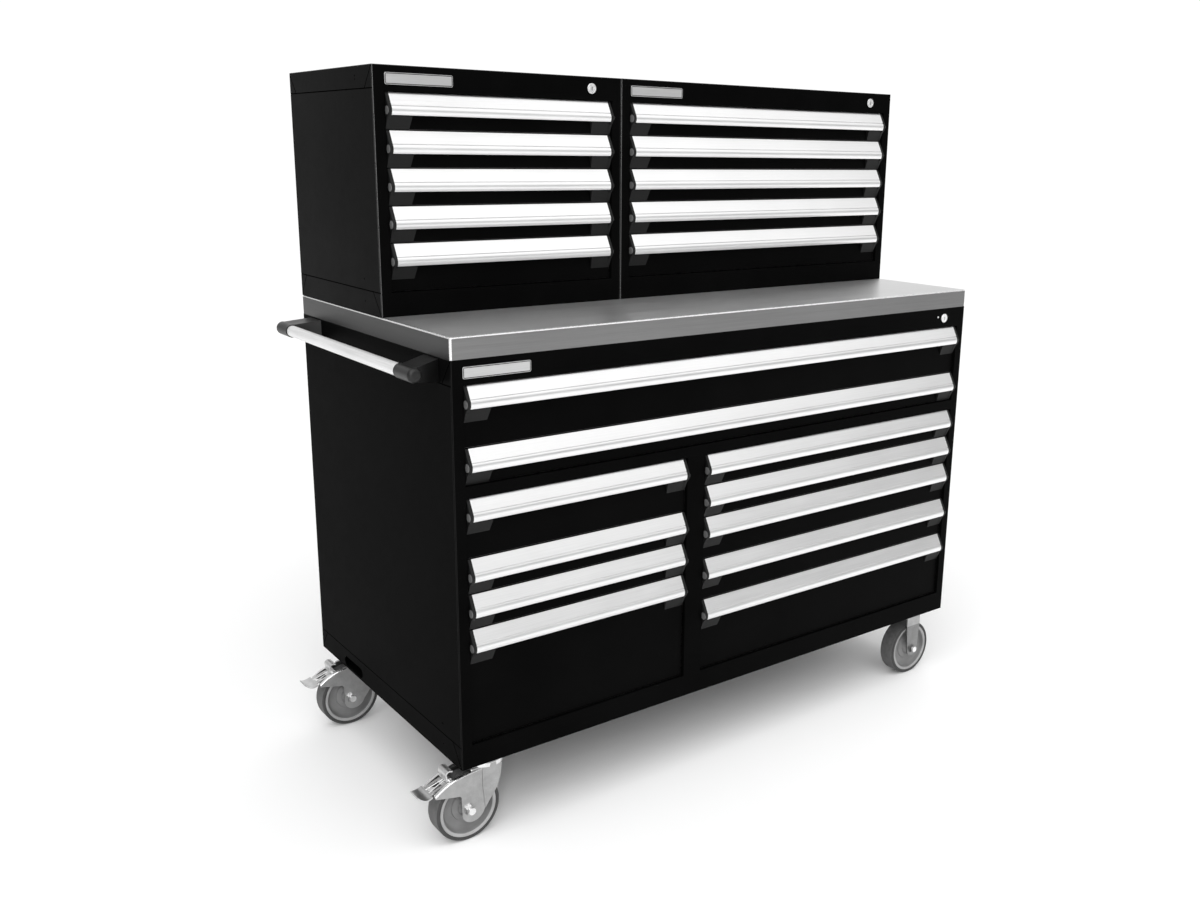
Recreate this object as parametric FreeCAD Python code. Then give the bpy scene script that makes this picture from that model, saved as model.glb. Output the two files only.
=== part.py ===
import FreeCAD, Part
import math
import os

from FreeCAD import Vector

# Rolling tool chest: a wheeled cabinet of drawers, a steel worktop, and two smaller drawer
# cabinets (hutches) that stand side by side on the worktop, flush with its back.
# Millimetres. While building, x runs right from the cabinet's left side, y runs back from its
# front, and z runs up from the floor. The finished model is moved so that its origin lies on
# the floor at the middle of its bounding box.

INCH = 25.4

# ---- driving dimensions -------------------------------------------------------------------
CABINET_WIDTH = 60 * INCH
CABINET_DEPTH = 30 * INCH
CABINET_HEIGHT = 34 * INCH
WORKTOP_THICKNESS = 1.75 * INCH
HUTCH_DEPTH = 18 * INCH
HUTCH_HEIGHT = 20 * INCH
HUTCH_LEFT_WIDTH = 24 * INCH
CASTER_HEIGHT = 193.0

# drawer rows from the top down, and the frame between them
WIDE_ROWS = [5 * INCH, 3 * INCH]
LEFT_ROWS = [5 * INCH, 3 * INCH, 3 * INCH, 10 * INCH]
RIGHT_ROWS = [3 * INCH, 3 * INCH, 4 * INCH, 4 * INCH, 7 * INCH]
HUTCH_ROWS = [3 * INCH, 3 * INCH, 3 * INCH, 3 * INCH, 4 * INCH]
STILE = 1 * INCH
RAIL = 2 * INCH
CROSS_RAIL = 1 * INCH
DIVIDER = 2 * INCH
LEFT_COLUMN = 22 * INCH

# sheet metal
SHEET = 1.5
BEND = 3.0
FRAME_RETURN = 25.0
BACK_RETURN = 30.0
WORKTOP_BEND = 4.5
WORKTOP_EDGE_ROUND = 4.0
SEAM_WIDTH = 2.2
SEAM_DEPTH = 0.9
SEAM_INSET = 50.8
MITRE_RUN = 38.0
HUTCH_SEAM_TOP = 46.0
DIMPLE_RADIUS = 2.2
SMALL_DIMPLE_RADIUS = 1.8
LIFT_SLOT = (108.0, 25.0)
LIFT_SLOT_AT = (561.0, 18.0)
CHANNEL_WIDTH = 60.0
CHANNEL_STARTS = (150.0, 360.0, 570.0)
CHANNEL_SHEET = 2.0
CHANNEL_INSET = 40.0

# drawers
DRAWER_SHEET = 1.2
FACE_RECESS = 6.6
SIDE_GAP = 2.0
ROW_GAP = 1.0
FACE_DEPTH = FRAME_RETURN - FACE_RECESS
FACE_ROUND = 1.1
RUNNER_SPACE = 13.2
BOX_BELOW = 9.0
BOX_ABOVE = 12.0
BACK_CLEARANCE = 26.0
FIXED_RUNNER_HEIGHT = 40.0
FIXED_RUNNER_REACH = 10.5
MOVING_RUNNER_HEIGHT = 26.0
MOVING_RUNNER_START = 5.0

# drawer pulls, measured out from the drawer face and down from its top edge
WEB_TOP = 1.2
WEB_REACH = 15.4
WEB_DROP = 26.8
WEB_THICK = 2.6
GROOVE_DEPTH = 1.7
GROOVE_HALF = 0.9
BEAD_REACH = 18.6
BEAD_MIDDLE = 36.5
BEAD_BOTTOM = 46.0
BEAD_BACK = 11.8
BEAD_ROUND = 1.6
CAP_EDGE = 0.1
CAP_END = 8.4
CAP_SINK = 1.1
CAP_KNOB_RADIUS = 8.6
CAP_ROUND = 0.8
CAP_WING = 51.0
CAP_WING_REACH = 10.4
CAP_WING_SLANT = 7.0
CAP_BOTTOM = 74.0

# lock plugs
LOCK_FACE_RADIUS = 11.5
LOCK_BARREL_RADIUS = 9.0
LOCK_CLEARANCE = 0.35
LOCK_PROUD = 3.0
LOCK_BARREL_LENGTH = 21.0
LOCK_CAM_LENGTH = 17.0
LOCK_CAM_WIDTH = 10.0
LOCK_CAM_SHEET = 2.5
LOCK_FACE_ROUND = 0.9
LOCK_RING_OUTER = 8.6
LOCK_RING_INNER = 7.7
LOCK_RING_DEPTH = 0.5
KEY_SLOT = (1.8, 8.4, 2.0)
LOCK_INSET = 83.2
LOCK_DROP = 26.0
LOCK_PIN = (24.0, 4.0)
LOCK_PIN_RADIUS = 2.4
LOCK_PIN_PROUD = 1.5

# push handle on the left side
HANDLE_REACH = 61.0
HANDLE_RADIUS = 13.0
HANDLE_WALL = 2.0
HANDLE_DROP = 26.6
HANDLE_TIP = 21.0
HANDLE_TUBE_START = 91.0
SOCKET_RADIUS = 15.2
SOCKET_DEPTH = 14.0
SOCKET_ROUND = 9.0
ARM_FOOT = (50.0, 112.0, 23.0)
ARM_END = (27.0, 88.0, 14.0)

# casters
WHEEL_RADIUS = 75.0
WHEEL_WIDTH = 46.0
WHEEL_SHOULDER = 5.0
TYRE_BORE = 67.0
RIM_HALF = 21.5
RIM_LIP = 60.2
DISH_RADIUS = 54.0
DISH_HALF = 6.0
BOSS_RADIUS = 34.0
BOSS_HALF = 9.5
HUB_RADIUS = 19.0
HUB_HALF = 25.0
AXLE_RADIUS = 8.0
AXLE_CLEARANCE = 0.08
FORK_INNER = 26.5
FORK_PLATE = 3.5
NUT_RADIUS = 12.5
NUT_HEIGHT = 7.0
WASHER_RADIUS = 13.0
WASHER_GAP = 0.5
PLATE_LENGTH = 114.3
PLATE_WIDTH = 101.6
PLATE_THICK = 6.4
PLATE_ROUND = 8.0
BOLT_SPACING_X = 92.0
BOLT_SPACING_Y = 76.2
BOLT_RADIUS = 5.0
BOLT_HEAD_RADIUS = 9.2
BOLT_HEAD_HEIGHT = 5.0
RIGID_TOP_HALF = 26.0
RIGID_END_HALF = 20.5
RIGID_SHOULDER = 40.0
FORK_TOP = 89.0
FORK_FLANGE = 9.0
FORK_FLANGE_SHEET = 3.2
FORK_FOLD = 3.0
FORK_CREASE = (30.5, 36.0)
FORK_PANEL = 1.2
CROWN_SHEET = 4.0
DISH_RACE_RADIUS = 42.0
RACE_RADIUS = 38.0
RACE_HEIGHT = 7.0
RACE_GAP = 1.0
RIVET_RADIUS = 14.0
RIVET_TOP = 29.5
RIVET_BOTTOM = 34.0
SWIVEL_OFFSET = 50.3
SWIVEL_WHEEL_X = 33.7
RIGID_WHEEL_X = 1448.5
WHEEL_INSET_Y = 62.8
KINGPIN_RADIUS = 8.0
PEDAL_PIVOT = (-41.7, 77.0)
PEDAL_PIN_RADIUS = 3.0
PEDAL_CLEARANCE = 0.08
PEDAL_BARREL_RADIUS = 6.5
PEDAL_SHEET = 3.0
PEDAL_GAP = 7.0
PEDAL_HALF = 17.5
PEDAL_LIP_HALF = 27.5
PEDAL_LIP_ROUND = 22.0
PEDAL_LIP_TIP = 73.5
PEDAL_WINDOW = (13.0, 40.0, 11.0)
SPRING_RADIUS = 1.5
SPRING_SPREAD = (3.0, 7.5)

# ---- levels worked out from them ----------------------------------------------------------
FLOOR_OF_CABINET = CASTER_HEIGHT
TOP_OF_CABINET = FLOOR_OF_CABINET + CABINET_HEIGHT
TOP_OF_WORKTOP = TOP_OF_CABINET + WORKTOP_THICKNESS
TOP_OF_HUTCH = TOP_OF_WORKTOP + HUTCH_HEIGHT
HUTCH_FRONT = CABINET_DEPTH - HUTCH_DEPTH
HUTCH_SPLIT = HUTCH_LEFT_WIDTH
PLATE_BOTTOM = CASTER_HEIGHT - PLATE_THICK
AXLE_HEIGHT = WHEEL_RADIUS


# ---- shape helpers ------------------------------------------------------------------------
def block(x0, x1, y0, y1, z0, z1):
    return Part.makeBox(x1 - x0, y1 - y0, z1 - z0, Vector(x0, y0, z0))


def rod(radius, start, end):
    return Part.makeCylinder(radius, (end - start).Length, start, end - start)


def closed_face(path, place):
    """A face inside a closed path. Each step is a point, or (point on an arc, its end)."""
    edges = []
    here = place(*path[0])
    for step in path[1:] + [path[0]]:
        if isinstance(step[0], tuple):
            there = place(*step[1])
            edges.append(Part.Arc(here, place(*step[0]), there).toShape())
        else:
            there = place(*step)
            if (there - here).Length > 1e-6:
                edges.append(Part.makeLine(here, there))
        here = there
    return Part.Face(Part.Wire(edges))


def prism_x(path, x0, x1):
    """A (y, z) outline drawn out along x."""
    return closed_face(path, lambda y, z: Vector(x0, y, z)).extrude(Vector(x1 - x0, 0, 0))


def prism_y(path, y0, y1):
    """An (x, z) outline drawn out along y."""
    return closed_face(path, lambda x, z: Vector(x, y0, z)).extrude(Vector(0, y1 - y0, 0))


def prism_z(path, z0, z1):
    """An (x, y) outline drawn out along z."""
    return closed_face(path, lambda x, y: Vector(x, y, z0)).extrude(Vector(0, 0, z1 - z0))


def corner(x, y, x_in, y_in, radius):
    """The two steps of a rounded corner at (x, y): its start point, and its arc."""
    soft = radius * (1 - math.sqrt(0.5))
    start = (x, y + y_in * radius)
    return [start, ((x + x_in * soft, y + y_in * soft), (x + x_in * radius, y))]


def hexagon(radius, x, z, y0, y1):
    points = []
    for k in range(6):
        angle = math.radians(60 * k + 30)
        points.append((x + radius * math.cos(angle), z + radius * math.sin(angle)))
    return prism_y(points, y0, y1)


def front_edges(shape, y):
    """The straight edges of a shape that lie in the plane at y."""
    found = []
    for edge in shape.Edges:
        if all(abs(v.Point.y - y) < 1e-6 for v in edge.Vertexes):
            found.append(edge)
    return found


# ---- sheet-metal cabinet ------------------------------------------------------------------
def side_wrap(x, inward, y0, y1, z0, z1):
    """A side panel bent round into the front stile and, at the back, into a return."""
    front_in = x + inward * STILE
    back_in = x + inward * BACK_RETURN
    thin = inward * SHEET
    path = corner(x, y0, inward, 1, BEND)
    path += [
        (front_in, y0),
        (front_in, y0 + FRAME_RETURN),
        (front_in - thin, y0 + FRAME_RETURN),
        (front_in - thin, y0 + SHEET),
        (x + thin, y0 + SHEET),
        (x + thin, y1 - SHEET),
        (back_in, y1 - SHEET),
        (back_in, y1),
        (x + inward * BEND, y1),
    ]
    soft = BEND * (1 - math.sqrt(0.5))
    path += [((x + inward * soft, y1 - soft), (x, y1 - BEND))]
    return prism_z(path, z0, z1)


def seam(x, inward, y0, z0, y1, z1):
    """The tool that cuts one straight seam line into a side panel's outer face."""
    length = math.hypot(y1 - y0, z1 - z0)
    start = min(x - inward, x + inward * SEAM_DEPTH)
    reach = 1 + SEAM_DEPTH
    tool = Part.makeBox(reach, length, SEAM_WIDTH, Vector(start, 0, -SEAM_WIDTH / 2))
    angle = math.degrees(math.atan2(z1 - z0, y1 - y0))
    tool.rotate(Vector(0, 0, 0), Vector(1, 0, 0), angle)
    tool.translate(Vector(0, y0, z0))
    return tool


def dimple(x, inward, y, z, radius):
    """The tool for a small round sink in a side panel's outer face."""
    return rod(radius, Vector(x - inward, y, z), Vector(x + inward * SEAM_DEPTH, y, z))


def footprint(x0, x1, y0, y1, z0, z1, radius):
    """A flat plate with rounded corners."""
    soft = radius * (1 - math.sqrt(0.5))
    path = corner(x0, y0, 1, 1, radius)
    path += [(x1 - radius, y0), ((x1 - soft, y0 + soft), (x1, y0 + radius))]
    path += [(x1, y1 - radius), ((x1 - soft, y1 - soft), (x1 - radius, y1))]
    path += [(x0 + radius, y1), ((x0 + soft, y1 - soft), (x0, y1 - radius))]
    return prism_z(path, z0, z1)


def frame_rail(x0, x1, y, z0, z1):
    """A front rail: a channel with its back open, its two returns running back."""
    path = [
        (y, z0),
        (y + FRAME_RETURN, z0),
        (y + FRAME_RETURN, z0 + SHEET),
        (y + SHEET, z0 + SHEET),
        (y + SHEET, z1 - SHEET),
        (y + FRAME_RETURN, z1 - SHEET),
        (y + FRAME_RETURN, z1),
        (y, z1),
    ]
    return prism_x(path, x0, x1)


def lock_hole(x, y, z):
    radius = LOCK_BARREL_RADIUS + LOCK_CLEARANCE
    return rod(radius, Vector(x, y - 1, z), Vector(x, y + SHEET + 1, z))


def cabinet_casing(x0, x1, y0, y1, z0, z1, seam_top, lock_x):
    """The pieces that every cabinet of the chest has: sides, liners, back, floor, top, rails."""
    low = z0 + SHEET
    high = z1 - SHEET
    left = side_wrap(x0, 1, y0, y1, low, high)
    right = side_wrap(x1, -1, y0, y1, low, high)
    seam_low = z0 + SEAM_INSET
    seam_high = z1 - seam_top
    for x, inward in ((x0, 1), (x1, -1)):
        tools = [
            seam(x, inward, y0 - 1, seam_low, y1 + 1, seam_low),
            seam(x, inward, y0 - 1, seam_high, y1 + 1, seam_high),
            seam(x, inward, y0, z0, y0 + MITRE_RUN, seam_low),
            seam(x, inward, y0, z1, y0 + MITRE_RUN, seam_high),
            seam(x, inward, y1 - MITRE_RUN, seam_low, y1, z0),
            seam(x, inward, y1 - MITRE_RUN, seam_high, y1, z1),
            dimple(x, inward, y0 + 82, z0 + 74, DIMPLE_RADIUS),
            dimple(x, inward, y0 + 82, z0 + 27, SMALL_DIMPLE_RADIUS),
            dimple(x, inward, y0 + 84, z1 - 20, SMALL_DIMPLE_RADIUS),
            dimple(x, inward, y0 + 84, z1 - 27, SMALL_DIMPLE_RADIUS),
        ]
        if inward == 1:
            left = left.cut(tools)
        else:
            right = right.cut(tools)
    rail_left = x0 + STILE
    rail_right = x1 - STILE
    top_rail = frame_rail(rail_left, rail_right, y0, z1 - RAIL, high)
    top_rail = top_rail.cut(lock_hole(lock_x, y0, z1 - LOCK_DROP))
    bottom_rail = frame_rail(rail_left, rail_right, y0, low, z0 + RAIL)
    liner_back = y1 - SHEET - 1
    liner_left = block(rail_left - SHEET, rail_left, y0 + FRAME_RETURN, liner_back, low, high)
    liner_right = block(rail_right, rail_right + SHEET, y0 + FRAME_RETURN, liner_back, low, high)
    back = block(x0 + BACK_RETURN, x1 - BACK_RETURN, y1 - SHEET, y1, low, high)
    floor = footprint(x0, x1, y0, y1, z0, low, BEND)
    top = footprint(x0, x1, y0, y1, high, z1, BEND)
    top = top.makeFillet(SHEET * 0.9, [e for e in top.Edges if e.BoundBox.ZMin > z1 - 1e-6])
    return [left, right, top_rail, bottom_rail, liner_left, liner_right, back, floor, top]


def centre_divider():
    """The post between the two columns: its front face and the two walls the runners sit on."""
    x0 = STILE + LEFT_COLUMN
    x1 = x0 + DIVIDER
    back = CABINET_DEPTH - SHEET - 1
    path = [
        (x0, 0),
        (x1, 0),
        (x1, back),
        (x1 - SHEET, back),
        (x1 - SHEET, SHEET),
        (x0 + SHEET, SHEET),
        (x0 + SHEET, back),
        (x0, back),
    ]
    top = TOP_OF_CABINET - RAIL - sum(WIDE_ROWS) - CROSS_RAIL
    return prism_z(path, FLOOR_OF_CABINET + RAIL, top)


def base_casing():
    pieces = cabinet_casing(
        0,
        CABINET_WIDTH,
        0,
        CABINET_DEPTH,
        FLOOR_OF_CABINET,
        TOP_OF_CABINET,
        SEAM_INSET,
        CABINET_WIDTH - LOCK_INSET,
    )
    cross_top = TOP_OF_CABINET - RAIL - sum(WIDE_ROWS)
    cross = frame_rail(STILE, CABINET_WIDTH - STILE, 0, cross_top - CROSS_RAIL, cross_top)
    slot = obround(LIFT_SLOT_AT[0], FLOOR_OF_CABINET + LIFT_SLOT_AT[1], *LIFT_SLOT)
    pieces[0] = pieces[0].cut(slot)
    pin_x = CABINET_WIDTH - LOCK_INSET - LOCK_PIN[0]
    pin_z = TOP_OF_CABINET - LOCK_DROP + LOCK_PIN[1]
    pin = rod(LOCK_PIN_RADIUS, Vector(pin_x, -LOCK_PIN_PROUD, pin_z), Vector(pin_x, SHEET, pin_z))
    pieces[2] = pieces[2].fuse(pin)
    return pieces + [cross, centre_divider()]


def obround(y, z, length, height):
    """The tool for the lifting slot low in the left side."""
    half = (length - height) / 2
    radius = height / 2
    path = [
        (y - half, z - radius),
        (y + half, z - radius),
        ((y + half + radius, z), (y + half, z + radius)),
        (y - half, z + radius),
        ((y - half - radius, z), (y - half, z - radius)),
    ]
    return prism_x(path, -1, SHEET + 1)


def hutch_casing(x0, x1):
    return cabinet_casing(
        x0,
        x1,
        HUTCH_FRONT,
        CABINET_DEPTH,
        TOP_OF_WORKTOP,
        TOP_OF_HUTCH,
        HUTCH_SEAM_TOP,
        x1 - LOCK_INSET,
    )


def worktop():
    """A folded steel pan, open below, with three channels under it to keep it flat."""
    sides = (0, CABINET_WIDTH, 0, CABINET_DEPTH)
    outer = footprint(*sides, TOP_OF_CABINET, TOP_OF_WORKTOP, WORKTOP_BEND)
    top_edges = [e for e in outer.Edges if e.BoundBox.ZMin > TOP_OF_WORKTOP - 1e-6]
    outer = outer.makeFillet(WORKTOP_EDGE_ROUND, top_edges)
    inner = block(
        SHEET,
        CABINET_WIDTH - SHEET,
        SHEET,
        CABINET_DEPTH - SHEET,
        TOP_OF_CABINET - 1,
        TOP_OF_WORKTOP - SHEET,
    )
    pieces = [outer.cut(inner)]
    high = TOP_OF_WORKTOP - SHEET
    x0 = CHANNEL_INSET
    x1 = CABINET_WIDTH - CHANNEL_INSET
    for y in CHANNEL_STARTS:
        channel = block(x0, x1, y, y + CHANNEL_WIDTH, TOP_OF_CABINET, high)
        hollow = block(
            x0 - 1,
            x1 + 1,
            y + CHANNEL_SHEET,
            y + CHANNEL_WIDTH - CHANNEL_SHEET,
            TOP_OF_CABINET - 1,
            high - CHANNEL_SHEET,
        )
        pieces.append(channel.cut(hollow))
    return pieces


# ---- drawers ------------------------------------------------------------------------------
def drawer_face(x0, x1, y, z0, z1):
    """The folded front of a drawer: a shallow pan with its four edges turned back."""
    pan = block(x0, x1, y, y + FACE_DEPTH, z0, z1)
    pan = pan.makeFillet(FACE_ROUND, front_edges(pan, y))
    hollow = block(
        x0 + DRAWER_SHEET,
        x1 - DRAWER_SHEET,
        y + DRAWER_SHEET,
        y + FACE_DEPTH + 1,
        z0 + DRAWER_SHEET,
        z1 - DRAWER_SHEET,
    )
    return pan.cut(hollow)


def drawer_box(cell, length):
    """The steel tray behind the face, with the moving half of each runner on its sides."""
    x0, x1, y, z0, z1 = cell
    face_y = y + FACE_RECESS
    face = drawer_face(x0 + SIDE_GAP, x1 - SIDE_GAP, face_y, z0 + ROW_GAP, z1 - ROW_GAP)
    left = x0 + RUNNER_SPACE
    right = x1 - RUNNER_SPACE
    front = y + FRAME_RETURN
    back = front + length
    low = z0 + BOX_BELOW
    high = z1 - BOX_ABOVE
    wall = DRAWER_SHEET
    middle = (z0 + z1) / 2
    pieces = [
        face,
        block(left, left + wall, front, back, low, high),
        block(right - wall, right, front, back, low, high),
        block(left + wall, right - wall, front, front + wall, low, high),
        block(left + wall, right - wall, back - wall, back, low, high),
        block(left + wall, right - wall, front + wall, back - wall, low, low + wall),
    ]
    half = MOVING_RUNNER_HEIGHT / 2
    reach = MOVING_RUNNER_START
    pieces.append(block(x0 + reach, left, front + 2, back - 2, middle - half, middle + half))
    pieces.append(block(right, x1 - reach, front + 2, back - 2, middle - half, middle + half))
    return pieces


def fixed_runners(cell, length):
    """The two channel rails on the cabinet walls that a drawer runs in."""
    x0, x1, y, z0, z1 = cell
    middle = (z0 + z1) / 2
    half = FIXED_RUNNER_HEIGHT / 2
    front = y + FRAME_RETURN + 2
    pieces = []
    for x, inward in ((x0, 1), (x1, -1)):
        path = [
            (x, middle - half),
            (x + inward * FIXED_RUNNER_REACH, middle - half),
            (x + inward * FIXED_RUNNER_REACH, middle - half + SHEET),
            (x + inward * SHEET, middle - half + SHEET),
            (x + inward * SHEET, middle + half - SHEET),
            (x + inward * FIXED_RUNNER_REACH, middle + half - SHEET),
            (x + inward * FIXED_RUNNER_REACH, middle + half),
            (x, middle + half),
        ]
        pieces.append(prism_y(path, front, front + length - 4))
    return pieces


def pull_point(cell):
    """Turns (out from the face, down from its top) into (y, z) for one drawer."""
    face_y = cell[2] + FACE_RECESS
    top = cell[4] - ROW_GAP
    return lambda out, down: (face_y - out, top - down)


def pull_bar(cell):
    """The aluminium pull: a flat sloping web, and below its groove a rounded finger bead."""
    at = pull_point(cell)
    x0 = cell[0] + SIDE_GAP + CAP_EDGE + CAP_END
    x1 = cell[1] - SIDE_GAP - CAP_EDGE - CAP_END
    groove = at(WEB_REACH - GROOVE_DEPTH, WEB_DROP)
    web = [
        at(0, 0),
        at(WEB_TOP, 0),
        at(WEB_REACH - GROOVE_HALF / 2, WEB_DROP - GROOVE_HALF),
        groove,
        at(WEB_REACH - WEB_THICK, WEB_DROP),
        at(0, 3.2),
    ]
    corner_drop = BEAD_BOTTOM - BEAD_ROUND
    bead = [
        at(BEAD_BACK + 1, WEB_DROP),
        groove,
        at(WEB_REACH + GROOVE_HALF / 2, WEB_DROP + GROOVE_HALF),
        (at(BEAD_REACH, BEAD_MIDDLE), at(16.4, corner_drop)),
        (at(14.6, BEAD_BOTTOM), at(BEAD_BACK + 0.9, corner_drop)),
        at(BEAD_BACK, 38.0),
        at(BEAD_BACK, WEB_DROP + 3),
    ]
    return [prism_x(web, x0, x1), prism_x(bead, x0, x1)]


def pull_cap(cell, outer, inward):
    """A moulded end cap: it closes the pull's end, with a knob at the bead and a wing below."""
    at = pull_point(cell)
    sunk = outer + inward * CAP_SINK
    end = outer + inward * CAP_END
    outline = [
        at(0, 0),
        at(WEB_TOP, 0),
        at(WEB_REACH, WEB_DROP),
        (at(BEAD_REACH, BEAD_MIDDLE - 1), at(WEB_REACH, 45.5)),
        at(9.0, 53.0),
        at(0, CAP_BOTTOM),
    ]
    plate = prism_x(outline, *sorted((sunk, end)))
    y, z = at(BEAD_REACH - CAP_KNOB_RADIUS, BEAD_MIDDLE)
    knob = rod(CAP_KNOB_RADIUS, Vector(outer, y, z), Vector(end, y, z))
    knob = knob.makeFillet(CAP_ROUND, [e for e in knob.Edges if side_edge(e, outer)])
    wing_outline = [
        at(0, 6),
        at(CAP_WING_REACH, WEB_DROP - 0.4),
        at(CAP_WING_REACH, 47.5),
        at(0, CAP_BOTTOM),
    ]
    tip = end + inward * CAP_WING
    slant = inward * CAP_WING_SLANT
    wing = prism_x(wing_outline, *sorted((end, tip)))
    trim = [
        (tip, at(0, 30)[1]),
        (tip - slant, at(0, CAP_BOTTOM + 1)[1]),
        (tip + slant, at(0, CAP_BOTTOM + 1)[1]),
        (tip + slant, at(0, 30)[1]),
    ]
    wing = wing.cut(prism_y(trim, at(30, 0)[0], at(-1, 0)[0]))
    return plate.fuse([knob, wing]).removeSplitter()


def side_edge(edge, x):
    """True for an edge that lies in the plane at x."""
    return edge.BoundBox.XMax - edge.BoundBox.XMin < 1e-6 and abs(edge.BoundBox.XMin - x) < 1e-6


def drawer_pull(cell):
    left = cell[0] + SIDE_GAP + CAP_EDGE
    right = cell[1] - SIDE_GAP - CAP_EDGE
    return pull_bar(cell) + [pull_cap(cell, left, 1), pull_cap(cell, right, -1)]


def drawer_cells():
    """Each drawer's name, opening (x0, x1, front y, z0, z1) and tray length."""
    base_length = CABINET_DEPTH - FRAME_RETURN - BACK_CLEARANCE
    hutch_length = HUTCH_DEPTH - FRAME_RETURN - BACK_CLEARANCE
    right_start = STILE + LEFT_COLUMN + DIVIDER
    wide_top = TOP_OF_CABINET - RAIL
    column_top = wide_top - sum(WIDE_ROWS) - CROSS_RAIL
    hutch_top = TOP_OF_HUTCH - RAIL
    end = CABINET_WIDTH - STILE
    columns = [
        ("base_wide_drawer", STILE, end, 0, wide_top, WIDE_ROWS, base_length),
        ("base_left_drawer", STILE, STILE + LEFT_COLUMN, 0, column_top, LEFT_ROWS, base_length),
        ("base_right_drawer", right_start, end, 0, column_top, RIGHT_ROWS, base_length),
    ]
    for side, x0, x1 in (("left", STILE, HUTCH_SPLIT - STILE), ("right", HUTCH_SPLIT + STILE, end)):
        place = (x0, x1, HUTCH_FRONT, hutch_top)
        columns.append((f"hutch_{side}_drawer", *place, HUTCH_ROWS, hutch_length))
    found = []
    for name, x0, x1, y, top, rows, length in columns:
        level = top
        for number, height in enumerate(rows, 1):
            found.append((f"{name}_{number}", (x0, x1, y, level - height, level), length))
            level -= height
    return found


# ---- locks --------------------------------------------------------------------------------
def lock_plug(x, y, z):
    """A lock's turning plug: its face with a key slot, its barrel, and the cam behind."""
    front = y - LOCK_PROUD
    seat = y - LOCK_CLEARANCE
    face = rod(LOCK_FACE_RADIUS, Vector(x, front, z), Vector(x, seat, z))
    rim = [e for e in face.Edges if e.BoundBox.YMax < front + 1e-6]
    face = face.makeFillet(LOCK_FACE_ROUND, rim)
    ring_ends = [Vector(x, front - 1, z), Vector(x, front + LOCK_RING_DEPTH, z)]
    ring = rod(LOCK_RING_OUTER, *ring_ends).cut(rod(LOCK_RING_INNER, *ring_ends))
    width, height, depth = KEY_SLOT
    slot = block(x - width / 2, x + width / 2, front - 1, front + depth, z - height / 2, z + height / 2)
    barrel_end = y + LOCK_BARREL_LENGTH
    barrel = rod(LOCK_BARREL_RADIUS, Vector(x, seat, z), Vector(x, barrel_end, z))
    plug = face.cut([ring, slot]).fuse(barrel)
    half = LOCK_CAM_WIDTH / 2
    cam_back = barrel_end + LOCK_CAM_SHEET
    cam = block(x - half, x + half, barrel_end, cam_back, z - LOCK_CAM_LENGTH, z + 6)
    return [plug, cam]


def locks():
    """Each lock's name and its centre on the front of its cabinet."""
    return [
        ("base_lock", CABINET_WIDTH - LOCK_INSET, 0, TOP_OF_CABINET - LOCK_DROP),
        ("hutch_left_lock", HUTCH_SPLIT - LOCK_INSET, HUTCH_FRONT, TOP_OF_HUTCH - LOCK_DROP),
        ("hutch_right_lock", CABINET_WIDTH - LOCK_INSET, HUTCH_FRONT, TOP_OF_HUTCH - LOCK_DROP),
    ]


# ---- push handle --------------------------------------------------------------------------
def rectangle(x, y0, y1, z0, z1):
    corners = [(y0, z0), (y1, z0), (y1, z1), (y0, z1), (y0, z0)]
    return Part.makePolygon([Vector(x, y, z) for y, z in corners])


def handle_bracket(mirror):
    """A moulded arm that stands out from the side panel and holds one end of the tube."""
    z = TOP_OF_CABINET - HANDLE_DROP
    foot_front, foot_back, foot_half = ARM_FOOT
    end_front, end_back, end_half = ARM_END
    near = rectangle(0, foot_front, foot_back, z - foot_half, z + foot_half)
    far = rectangle(2 - HANDLE_REACH, end_front, end_back, z - end_half, z + end_half)
    arm = Part.makeLoft([near, far], True, True)
    tip = Vector(-HANDLE_REACH, HANDLE_TIP, z)
    mouth = Vector(-HANDLE_REACH, HANDLE_TUBE_START, z)
    socket = rod(SOCKET_RADIUS, tip, mouth)
    tip_edges = [e for e in socket.Edges if e.BoundBox.YMax < HANDLE_TIP + 1e-6]
    socket = socket.makeFillet(SOCKET_ROUND, tip_edges)
    start = mouth - Vector(0, SOCKET_DEPTH, 0)
    bore = rod(HANDLE_RADIUS, start, mouth + Vector(0, 1, 0))
    bracket = arm.fuse(socket).removeSplitter().cut(bore)
    if mirror:
        bracket = bracket.mirror(Vector(0, CABINET_DEPTH / 2, 0), Vector(0, 1, 0))
    return bracket


def push_handle():
    z = TOP_OF_CABINET - HANDLE_DROP
    start = HANDLE_TUBE_START - SOCKET_DEPTH
    ends = [Vector(-HANDLE_REACH, y, z) for y in (start, CABINET_DEPTH - start)]
    tube = rod(HANDLE_RADIUS, *ends).cut(rod(HANDLE_RADIUS - HANDLE_WALL, *ends))
    return [tube, handle_bracket(False), handle_bracket(True)]


# ---- casters ------------------------------------------------------------------------------
def revolve_y(path, x, y, z):
    """An outline of (radius, y) points turned about the axle at (x, z)."""
    face = closed_face(path, lambda r, along: Vector(x + r, y + along, z))
    return face.revolve(Vector(x, y, z), Vector(0, 1, 0), 360)


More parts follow.
